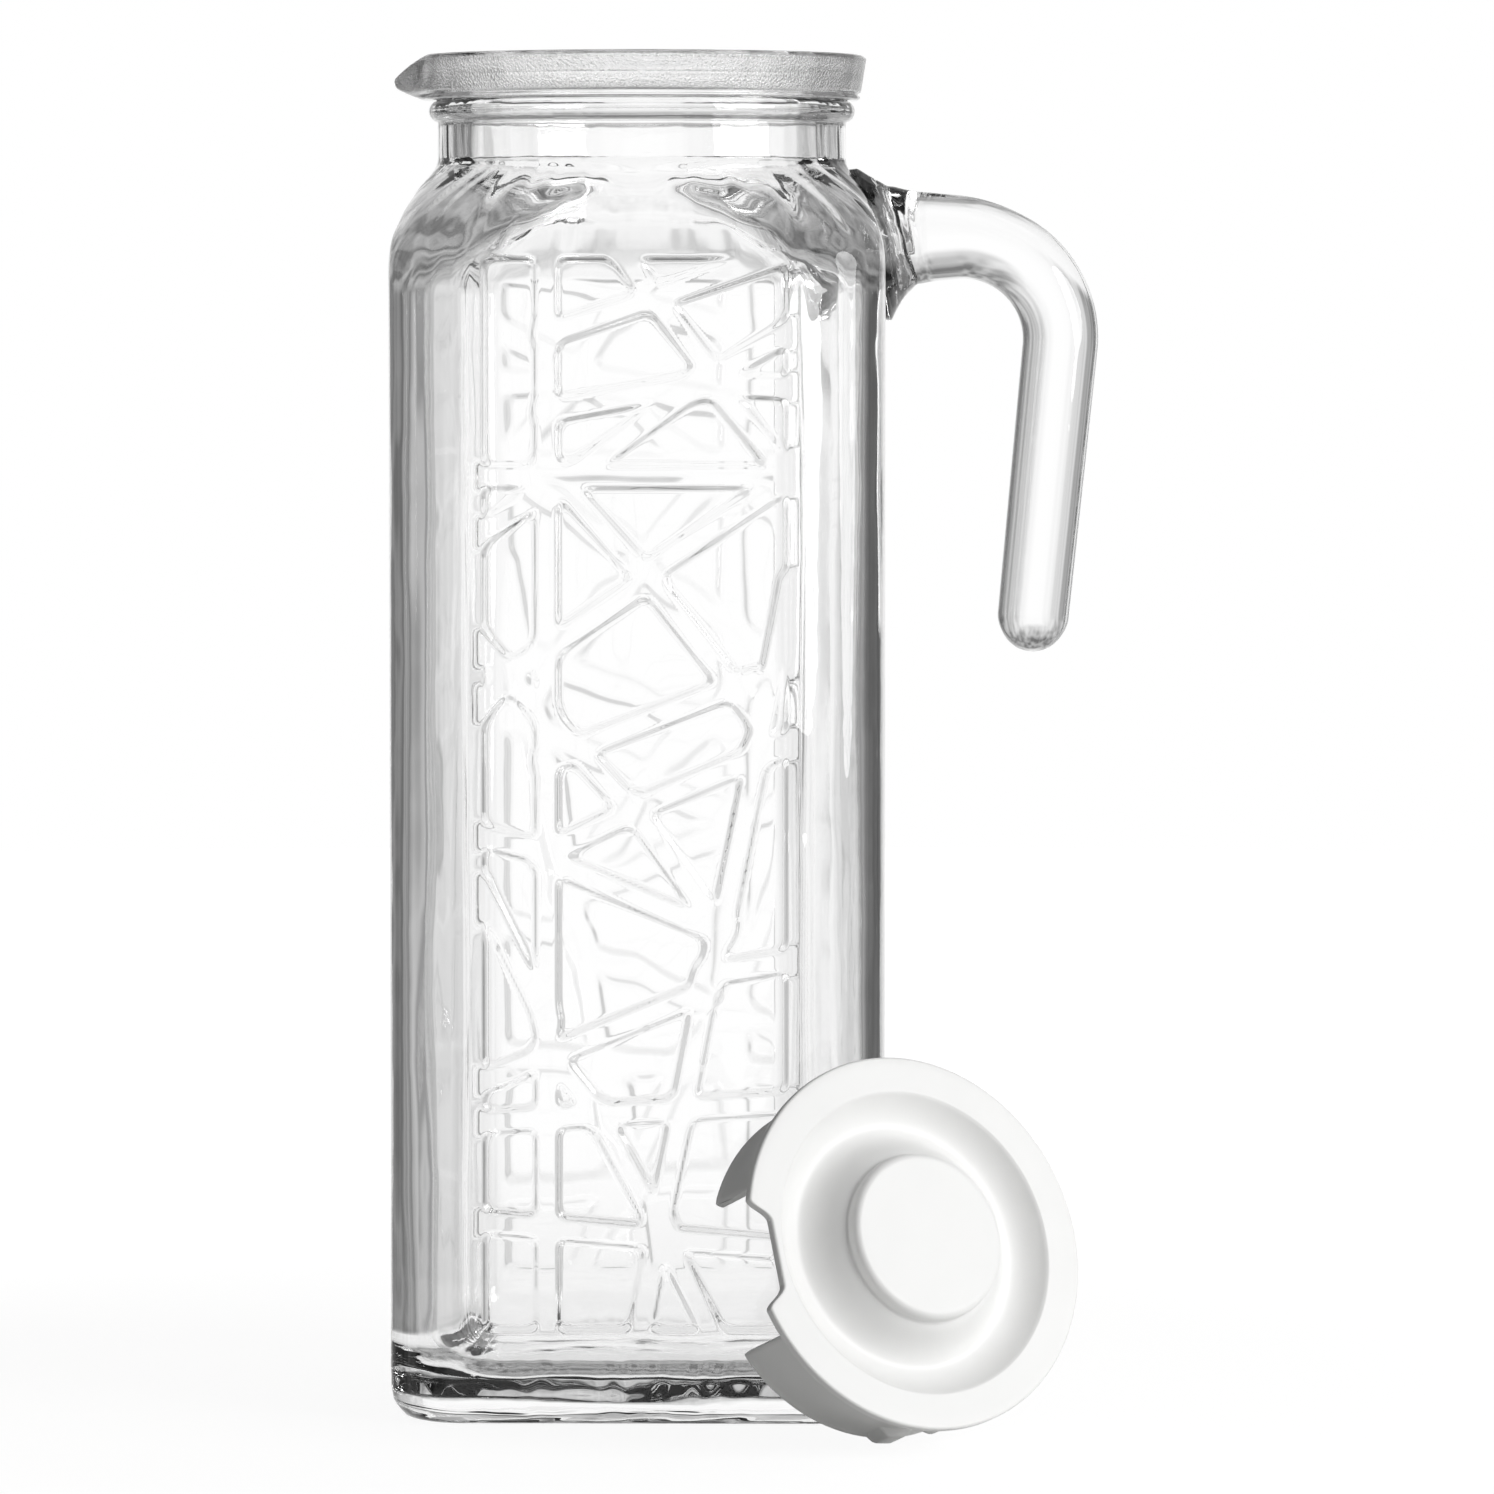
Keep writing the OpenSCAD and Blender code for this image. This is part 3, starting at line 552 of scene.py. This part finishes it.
def makeLid():
    turns = np.linspace(0, tau, lid["sides"], endpoint=False)
    # Extra columns round the notch, for its rounded corners
    notchSpan = 0.42
    extra = math.pi + np.linspace(-notchSpan, notchSpan, 141)
    turns = np.unique(np.round(np.concatenate([turns, extra]), 5))
    sides = len(turns)

    # How far the flat ring reaches at each turn: to the notch's inner edge, its slanting
    # sides or the round edge, with their corners rounded off
    off = np.abs(turns - math.pi)
    near = np.minimum(off, 0.6)
    edge = lid["notchReach"] / np.cos(near)
    slant = (lid["notchMouthHalf"] - lid["notchHalf"]) / (lid["r"] - lid["notchReach"])
    side = (lid["notchHalf"] - slant * lid["notchReach"]) / (np.sin(near) - slant * np.cos(near))
    side = np.where(np.sin(near) - slant * np.cos(near) < 0, side, 60)
    k = lid["notchSoft"]
    h = np.clip(0.5 + 0.5 * (side - edge) / k, 0, 1)
    notch = edge + (side - edge) * h + k * h * (1 - h)
    h = np.clip(0.5 + 0.5 * (lid["r"] - notch) / k, 0, 1)
    reach = lid["r"] + (notch - lid["r"]) * h - k * h * (1 - h)
    reach = np.where(off < notchSpan, reach, lid["r"])

    # The dish is steepest at its outer edge, and the knob's foot halfway down to the groove
    q = np.linspace(0, 1, 101)
    footFall = np.cumsum(np.sin(math.pi * q) + 0.3 * (1 - q))
    dishRise = np.cumsum(0.04 + q)
    footFall, dishRise = footFall / footFall[-1], dishRise / dishRise[-1]

    def grooveZ(r):
        if r < lid["grooveR"]:
            share = np.interp((r - lid["knobR"]) / (lid["grooveR"] - lid["knobR"]), q, footFall)
            return float(lid["knobFoot"] - (lid["knobFoot"] + lid["grooveDepth"]) * share)
        share = np.interp((r - lid["grooveR"]) / (lid["dishR"] - lid["grooveR"]), q, dishRise)
        return float(lid["grooveDepth"] * (share - 1))

    # Profile from the top's middle, out and round underneath. The third value says how
    # much of the notch's reach the point follows
    e, knobR, knobH, er = lid["knobEdgeR"], lid["knobR"], lid["knobH"], lid["edgeR"]
    top = [(r, knobH, 0) for r in (2, 6, 10, 13, knobR - e - 0.2)]
    top += [(r, z, 0) for r, z in arc(knobR - e, knobH - e, e, 90, 0, 8)]
    top += [(knobR, knobH - e - 0.4, 0), (knobR + 0.02, lid["knobFoot"] + 0.35, 0)]
    top += [(r, grooveZ(r), 0) for r in np.linspace(knobR + 0.12, lid["grooveR"], 16)]
    top += [(r, grooveZ(r), 0) for r in np.linspace(lid["grooveR"], lid["dishR"], 14)[1:]]
    ringEdge = [(lid["dishR"] + 0.3, 0, 0), (lid["dishR"] + 0.6, 0, 0)]
    ringEdge += [(r, 0, 1) for r in (0.25, 0.5, 0.75)]
    for t in np.radians(np.linspace(0, 90, 6)):
        ringEdge.append((("edge", er - er * math.sin(t)), -er + er * math.cos(t), 2))
    for t in np.radians(np.linspace(90, 180, 6)):
        ringEdge.append((("edge", er - er * math.sin(t)), -lid["thick"] + er + er * math.cos(t), 2))
    ringEdge += [(r, -lid["thick"], 1) for r in (0.7, 0.35)]
    under = [(lid["dishR"] + 0.6, -lid["thick"], 0), (lid["dishR"], -lid["thick"] - 0.05, 0)]
    under += [(r, grooveZ(r) - lid["wall"], 0) for r in np.linspace(lid["dishR"] - 0.6, knobR + 0.4, 18)]
    insideR, insideH = knobR - lid["wall"], knobH - lid["wall"]
    under += [(insideR + 0.2, lid["knobFoot"] - lid["wall"], 0), (insideR, insideH - 0.5, 0),
              (insideR - 0.5, insideH, 0), (8, insideH, 0), (3, insideH, 0)]
    profile = top + ringEdge + under
    inner = lid["dishR"] + 0.6
    rings = []
    for r, z, kind in profile:
        if kind == 0:
            radius = np.full(sides, r)
        elif kind == 1:
            radius = inner + (reach - er - inner) * r
        else:
            radius = reach - r[1]
        rings.append(np.stack([radius * np.cos(turns), radius * np.sin(turns), np.full(sides, z)], -1))
    count = len(rings)
    points = [np.array(rings).reshape(-1, 3), np.array([[0, 0, knobH], [0, 0, insideH]])]
    first = count * sides
    quads = [ringQuads(count, sides)[:, ::-1]]
    lastRing = (count - 1) * sides + np.arange(sides)
    triangles = [fan(np.arange(sides), first, True), fan(lastRing, first + 1, False)]
    total = first + 2

    # The skirt: a rounded strip that runs round from one side of the pouring gap to the other
    inR, outR, h, lip = lid["skirtR"] - lid["skirtT"], lid["skirtR"], lid["skirtH"], lid["lipOut"]
    strip = [(inR, -1.2), (inR, -6), (inR, -12), (inR, -h + 0.5), (inR + 0.15, -h + 0.12), (inR + 0.5, -h),
             (outR + lip - 0.5, -h), (outR + lip - 0.12, -h + 0.14), (outR + lip, -h + 0.4),
             (outR + lip, -h + lid["lipH"] - 0.3), (outR + lip - 0.15, -h + lid["lipH"]),
             (outR, -h + lid["lipH"] + 0.35), (outR, -12), (outR, -6), (outR, -1.2)]
    around = np.radians(np.linspace(180 + lid["skirtOpen"], 540 - lid["skirtOpen"], 150))
    # The skirt's two ends are rounded off: its last sections draw in a little
    sections = [(around[0], 0.72), (around[0] + 0.004, 0.9)]
    sections += [(a, 1.0) for a in around[1:-1]]
    sections += [(around[-1] - 0.004, 0.9), (around[-1], 0.72)]
    middleR = (inR + outR) / 2
    skirt = []
    for a, s in sections:
        drawnIn = [(middleR + (r - middleR) * s, z) for r, z in strip]
        skirt.append([(r * math.cos(a), r * math.sin(a), z) for r, z in drawnIn])
    n = len(strip)
    skirt = np.array(skirt)
    points.append(skirt.reshape(-1, 3))
    quads.append(ringQuads(len(sections), n, first=total)[:, ::-1])
    points.append(np.array([skirt[0].mean(0), skirt[-1].mean(0)]))
    ends = total + len(sections) * n
    lastSection = total + (len(sections) - 1) * n + np.arange(n)
    triangles += [fan(total + np.arange(n), ends, True), fan(lastSection, ends + 1, False)]
    total = ends + 2

    # The lugs, with softened corners: slices from the foot of each to its tip
    for angle in lid["lugAngles"]:
        a = math.radians(180 + angle)
        outWay, sideWay = np.array([math.cos(a), math.sin(a), 0]), np.array([-math.sin(a), math.cos(a), 0])
        slices = []
        foot = lid["skirtR"] - lid["skirtT"] / 2
        for share, draw in ((0, 0), (0.5, 0), (0.85, 0.08), (0.96, 0.3), (1, 0.65)):
            width = (lid["lugWidth"] + (lid["lugTip"] - lid["lugWidth"]) * share) / 2 - draw
            low, high = -h + draw, -h + lid["lugH"] - draw * 1.6
            r = foot + (lid["lugR"] - foot) * share
            soft = 0.45
            shape = []
            for cx, cz, start in ((width - soft, low + soft, -90), (width - soft, high - soft, 0),
                                  (-width + soft, high - soft, 90), (-width + soft, low + soft, 180)):
                shape += arc(cx, cz, soft, start, start + 90, 3)
            slices.append([outWay * r + sideWay * x + np.array([0, 0, z]) for x, z in shape])
        slices = np.array(slices)
        m = slices.shape[1]
        points.append(slices.reshape(-1, 3))
        quads.append(ringQuads(len(slices), m, first=total))
        points.append(np.array([slices[-1].mean(0)]))
        tip = total + len(slices) * m
        triangles.append(fan(total + (len(slices) - 1) * m + np.arange(m), tip, True))
        total = tip + 1

    points = np.vstack(points)
    tilt = Matrix.Rotation(math.radians(90 - lid["lean"]), 3, "X")
    turn = Matrix.Rotation(math.radians(lid["turn"]), 3, "Z")
    points = points @ np.array(turn @ tilt).T + np.array(lid["place"])
    return addMesh("pitcherLid", points, np.vstack(quads), np.vstack(triangles))


lidPiece = makeLid()
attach(lidPiece, "lid")
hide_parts("lid")
print("lid made,", len(lidPiece.data.polygons), "faces")


# Soda-lime glass, pressed hot and fire-polished: clear and colourless, with a liquid
# skin whose slow waves bend what is seen through it, and a fine stipple round the rim
glass = {"colour": "#ffffff", "ior": 1.52, "roughness": 0.0, "waveMm": 9, "waveHeight": 0.05,
         "stippleMm": 0.45, "stippleHeight": 0.42, "stippleFrom": 248.0, "stippleTo": 254.2, "stippleR": 40.5}


def makeGlass(withStipple):
    material, tree = newMaterial("sodaLimeGlassStippled" if withStipple else "sodaLimeGlass")
    place = addNode(tree, "ShaderNodeTexCoord")
    slow = {"Scale": 1 / (glass["waveMm"] * mm), "Detail": 1.0, "Roughness": 0.4}
    wave = addNode(tree, "ShaderNodeTexNoise", slow, {"Vector": place.outputs["Object"]})
    bump = addNode(tree, "ShaderNodeBump", {"Strength": 1.0, "Distance": glass["waveHeight"] * mm},
                   {"Height": wave.outputs["Fac"]})
    normal = bump.outputs["Normal"]
    if withStipple:
        # The stipple's band, by height and by distance from the axis
        parts = addNode(tree, "ShaderNodeSeparateXYZ", None, {"Vector": place.outputs["Object"]})
        foot, top, r = (glass[name] * mm for name in ("stippleFrom", "stippleTo", "stippleR"))
        low = addNode(tree, "ShaderNodeMapRange", {"From Min": foot - 0.4 * mm, "From Max": foot + 0.3 * mm},
                      {"Value": parts.outputs["Z"]})
        high = addNode(tree, "ShaderNodeMapRange", {"From Min": top + 0.3 * mm, "From Max": top - 0.4 * mm},
                       {"Value": parts.outputs["Z"]})
        flat = addNode(tree, "ShaderNodeVectorMath", {1: (1, 1, 0)}, {0: place.outputs["Object"]},
                       operation="MULTIPLY")
        radius = addNode(tree, "ShaderNodeVectorMath", None, {0: flat.outputs["Vector"]}, operation="LENGTH")
        outer = addNode(tree, "ShaderNodeMapRange", {"From Min": r - 0.3 * mm, "From Max": r + 0.3 * mm},
                        {"Value": radius.outputs["Value"]})
        height = addNode(tree, "ShaderNodeTexNoise", {"Scale": 1 / (glass["stippleMm"] * mm), "Detail": 2.0},
                         {"Vector": place.outputs["Object"]}).outputs["Fac"]
        for mask in (low, high, outer):
            height = addNode(tree, "ShaderNodeMath", None, {0: height, 1: mask.outputs["Result"]},
                             operation="MULTIPLY").outputs["Value"]
        stipple = addNode(tree, "ShaderNodeBump", {"Strength": 1.0, "Distance": glass["stippleHeight"] * mm},
                          {"Height": height, "Normal": normal})
        normal = stipple.outputs["Normal"]
    shader = addNode(tree, "ShaderNodeBsdfPrincipled", {
        "Base Color": toLinear(glass["colour"]), "Roughness": glass["roughness"], "IOR": glass["ior"],
        "Transmission Weight": 1.0}, {"Normal": normal})
    addNode(tree, "ShaderNodeOutputMaterial", None, {"Surface": shader.outputs["BSDF"]})
    return material


jugPiece.data.materials.append(makeGlass(True))
handlePiece.data.materials.append(makeGlass(False))

# Low-density polyethylene, injection moulded against a fine satin tool: white, a little
# waxy, with shallow sink marks and a broad soft highlight
# The shade colour is painted shade: the plastic is drawn a little darker where its sink marks dip
plastic = {"colour": "#f8f8f7", "shade": "#f3f3f2", "ior": 1.51, "roughness": 0.42, "roughnessRange": 0.05,
           "grainMm": 0.35, "grainHeight": 0.012, "sinkMm": 14, "sinkHeight": 0.06}


def makePlastic():
    material, tree = newMaterial("mouldedPolyethylene")
    place = addNode(tree, "ShaderNodeTexCoord")
    grain = addNode(tree, "ShaderNodeTexNoise", {"Scale": 1 / (plastic["grainMm"] * mm), "Detail": 2.0},
                    {"Vector": place.outputs["Object"]})
    sink = addNode(tree, "ShaderNodeTexNoise", {"Scale": 1 / (plastic["sinkMm"] * mm), "Detail": 1.0},
                   {"Vector": place.outputs["Object"]})
    low = addNode(tree, "ShaderNodeBump", {"Strength": 1.0, "Distance": plastic["sinkHeight"] * mm},
                  {"Height": sink.outputs["Fac"]})
    fine = addNode(tree, "ShaderNodeBump", {"Strength": 1.0, "Distance": plastic["grainHeight"] * mm},
                   {"Height": grain.outputs["Fac"], "Normal": low.outputs["Normal"]})
    # Painted shade: the colour darkens towards the shade colour where the sink noise is low, in the sink marks'
    # dips
    paintedSinkShade = addNode(tree, "ShaderNodeMix", {"A": toLinear(plastic["shade"]), "B": toLinear(plastic["colour"])},
                   {"Factor": sink.outputs["Fac"]}, data_type="RGBA")
    middle, spread = plastic["roughness"], plastic["roughnessRange"]
    rough = addNode(tree, "ShaderNodeMapRange", {"To Min": middle - spread, "To Max": middle + spread},
                    {"Value": grain.outputs["Fac"]})
    shader = addNode(tree, "ShaderNodeBsdfPrincipled", {"IOR": plastic["ior"]}, {
        "Base Color": paintedSinkShade.outputs["Result"], "Roughness": rough.outputs["Result"],
        "Normal": fine.outputs["Normal"]})
    addNode(tree, "ShaderNodeOutputMaterial", None, {"Surface": shader.outputs["BSDF"]})
    return material


lidPiece.data.materials.append(makePlastic())
print("materials made")


# A white cove: the camera sees it plain white, what lights the lid is a soft level, and the
# glass sees its levels fall off beside and above the white panels, as in a studio
studio = {
    "ambient": (0.04, 0.42), "ambientBehind": 0.35,
    "lamp": 15.0, "lampSize": 1.0, "lampPlace": (1.25, -0.75, 0.5), "lampAim": (0.03, -0.03, 0.08),
    "roomScale": 9.0, "roomStretch": 0.2, "room": (0.3, 1.7),
    "floorShadow": 0.16, "floorSize": 1.5, "floorFrom": 0.12, "floorFade": 0.5,
    # Level by the turn from the back towards the handle's side, in degrees: white panels in
    # front, behind and at both sides, and the dark of the room between them
    "around": [
        (-180, 1), (-160, 1), (-146, 0.6), (-130, 0.35), (-114, 0.25), (-106, 0.32), (-94, 0.8),
        (-86, 0.8), (-75, 0.3), (-68, 0.28), (-62, 0.28), (-50, 0.3), (-39, 0.36), (-31, 0.48),
        (-23, 0.66), (-14, 0.88), (-7, 1), (7, 1), (14, 0.88), (23, 0.64), (35, 0.4),
        (52, 0.2), (66, 0.12), (76, 0.3), (86, 0.8), (94, 0.8), (106, 0.32), (114, 0.25),
        (130, 0.35), (146, 0.6), (180, 1),
    ],
    # Level by the height above the horizon, in degrees
    "upwards": [
        (-90, 0.28), (-62, 0.3), (-50, 0.42), (-42, 0.8), (-34, 1), (-13, 1), (7, 1),
        (14, 0.78), (22, 0.52), (33, 0.32), (50, 0.35), (62, 0.8), (90, 1),
    ],
    # How much of the first list counts at each height
    "mixing": [(-90, 0), (-16, 0), (-11, 1), (90, 1)],
}


# Two masks: 1 where a ray from the camera, or its mirror image or refraction, meets the
# cove, and 1 for the camera's own rays alone
def seenStraight(tree):
    path = addNode(tree, "ShaderNodeLightPath")
    rays = path.outputs["Is Camera Ray"]
    for name in ("Is Glossy Ray", "Is Transmission Ray"):
        either = addNode(tree, "ShaderNodeMath", None, {0: rays, 1: path.outputs[name]}, operation="MAXIMUM")
        rays = either.outputs["Value"]
    lit = addNode(tree, "ShaderNodeMath", {1: 0.5}, {0: path.outputs["Diffuse Depth"]}, operation="LESS_THAN")
    both = addNode(tree, "ShaderNodeMath", None, {0: rays, 1: lit.outputs["Value"]}, operation="MULTIPLY")
    return both.outputs["Value"], path.outputs["Is Camera Ray"]


# A list of levels as a ramp over degrees
def addLevels(tree, source, levels):
    first, last = levels[0][0], levels[-1][0]
    span = {"From Min": math.radians(first), "From Max": math.radians(last)}
    share = addNode(tree, "ShaderNodeMapRange", span, {"Value": source})
    ramp = addNode(tree, "ShaderNodeValToRGB", None, {"Fac": share.outputs["Result"]})
    ramp.color_ramp.interpolation = "EASE"
    stops = ramp.color_ramp.elements
    for _ in range(len(levels) - 2):
        stops.new(0.5)
    for stop, (angle, level) in zip(stops, levels):
        stop.position = (angle - first) / (last - first)
        stop.color = (level, level, level, 1)
    return ramp.outputs["Color"]


def makeWorld():
    world = bpy.data.worlds.new("cove")
    world.use_nodes = True
    tree = world.node_tree
    tree.nodes.clear()
    seen, direct = seenStraight(tree)
    way = addNode(tree, "ShaderNodeTexCoord")
    parts = addNode(tree, "ShaderNodeSeparateXYZ", None, {"Vector": way.outputs["Generated"]})
    turn = addNode(tree, "ShaderNodeMath", None, {0: parts.outputs["X"], 1: parts.outputs["Y"]},
                   operation="ARCTAN2")
    height = addNode(tree, "ShaderNodeMath", None, {0: parts.outputs["Z"]}, operation="ARCSINE")
    around = addLevels(tree, turn.outputs["Value"], studio["around"])
    upwards = addLevels(tree, height.outputs["Value"], studio["upwards"])
    mixing = addLevels(tree, height.outputs["Value"], studio["mixing"])
    side = addNode(tree, "ShaderNodeMix", {"A": 1.0}, {"Factor": mixing, "B": around}, data_type="FLOAT")
    level = addNode(tree, "ShaderNodeMath", None, {0: side.outputs["Result"], 1: upwards},
                    operation="MINIMUM").outputs["Value"]
    # What stands in the dark of the room is streaky; the white panels are plain
    upright = addNode(tree, "ShaderNodeVectorMath", {1: (1, 1, studio["roomStretch"])},
                      {0: way.outputs["Generated"]}, operation="MULTIPLY")
    room = addNode(tree, "ShaderNodeTexNoise", {"Scale": studio["roomScale"], "Detail": 1.0},
                   {"Vector": upright.outputs["Vector"]})
    dim, bright = studio["room"]
    streaks = {"From Min": 0.35, "From Max": 0.65, "To Min": dim, "To Max": bright}
    streak = addNode(tree, "ShaderNodeMapRange", streaks, {"Value": room.outputs["Fac"]})
    patchy = addNode(tree, "ShaderNodeMix", {"B": 1.0}, {"Factor": level, "A": streak.outputs["Result"]},
                     data_type="FLOAT")
    level = addNode(tree, "ShaderNodeMath", None, {0: level, 1: patchy.outputs["Result"]},
                    operation="MULTIPLY").outputs["Value"]
    shown = addNode(tree, "ShaderNodeMath", None, {0: level, 1: direct}, operation="MAXIMUM")

    # What lights the lid: more from the handle's side and from behind
    left, right = studio["ambient"]
    fill = addNode(tree, "ShaderNodeMapRange", {"From Min": -1.0, "To Min": left, "To Max": right},
                   {"Value": parts.outputs["X"]})
    behind = addNode(tree, "ShaderNodeMapRange", {"From Min": 0.25, "To Max": studio["ambientBehind"]},
                     {"Value": parts.outputs["Y"]})
    fill = addNode(tree, "ShaderNodeMath", None, {0: fill.outputs["Result"], 1: behind.outputs["Result"]},
                   operation="ADD")
    strength = addNode(tree, "ShaderNodeMix", None,
                       {"Factor": seen, "A": fill.outputs["Value"], "B": shown.outputs["Value"]},
                       data_type="FLOAT")
    background = addNode(tree, "ShaderNodeBackground", {"Color": (1, 1, 1, 1)},
                         {"Strength": strength.outputs["Result"]})
    addNode(tree, "ShaderNodeOutputWorld", None, {"Surface": background.outputs["Background"]})
    bpy.context.scene.world = world


def makeFloor():
    turns = np.linspace(0, tau, 96, endpoint=False)
    edge = np.stack([np.cos(turns), np.sin(turns), 0 * turns], -1) * studio["floorSize"] / mm
    points = np.vstack([edge * 0.25, edge, [[0, 0, 0]]])
    points[:, 2] = -0.15
    piece = addMesh("floor", points, ringQuads(2, 96)[:, ::-1], fan(np.arange(96), 192, True))
    material, tree = newMaterial("whitePaperCove")
    seen, direct = seenStraight(tree)
    place = addNode(tree, "ShaderNodeTexCoord")
    away = addNode(tree, "ShaderNodeVectorMath", None, {0: place.outputs["Object"]}, operation="LENGTH")
    # The paper keeps the shadow near the pitcher, and fades into the cove further out
    fading = {"From Min": studio["floorFrom"], "From Max": studio["floorFade"],
              "To Min": studio["floorShadow"], "To Max": 0.0}
    share = addNode(tree, "ShaderNodeMapRange", fading, {"Value": away.outputs["Value"]},
                    interpolation_type="SMOOTHSTEP")
    grain = addNode(tree, "ShaderNodeTexNoise", {"Scale": 900.0}, {"Vector": place.outputs["Object"]})
    paper = addNode(tree, "ShaderNodeMix", {"A": toLinear("#f4f4f3"), "B": toLinear("#fbfbfa")},
                    {"Factor": grain.outputs["Fac"]}, data_type="RGBA")
    matte = addNode(tree, "ShaderNodeBsdfDiffuse", None, {"Color": paper.outputs["Result"]})
    bounce = addNode(tree, "ShaderNodeBsdfDiffuse", {"Color": toLinear("#e8e8e7")})
    glow = addNode(tree, "ShaderNodeEmission", {"Color": (1, 1, 1, 1), "Strength": 1.1})
    beyond = addNode(tree, "ShaderNodeBsdfTransparent")
    bright = addNode(tree, "ShaderNodeMixShader", None,
                     {"Fac": direct, 1: beyond.outputs["BSDF"], 2: glow.outputs["Emission"]})
    part = addNode(tree, "ShaderNodeMixShader", None,
                   {"Fac": share.outputs["Result"], 1: bright.outputs["Shader"], 2: matte.outputs["BSDF"]})
    shader = addNode(tree, "ShaderNodeMixShader", None,
                     {"Fac": seen, 1: bounce.outputs["BSDF"], 2: part.outputs["Shader"]})
    addNode(tree, "ShaderNodeOutputMaterial", None, {"Surface": shader.outputs["Shader"]})
    piece.data.materials.append(material)


def addLamp(name, place, aim, size, power):
    data = bpy.data.lights.new(name, "AREA")
    data.shape = "DISK"
    data.size = size
    data.energy = power
    lamp = bpy.data.objects.new(name, data)
    lamp.location = place
    lamp.rotation_euler = (Vector(aim) - Vector(place)).to_track_quat("-Z", "Y").to_euler()
    bpy.context.scene.collection.objects.link(lamp)
    return lamp


makeWorld()
makeFloor()
addLamp("keyLamp", studio["lampPlace"], studio["lampAim"], studio["lampSize"], studio["lamp"])
print("studio made")
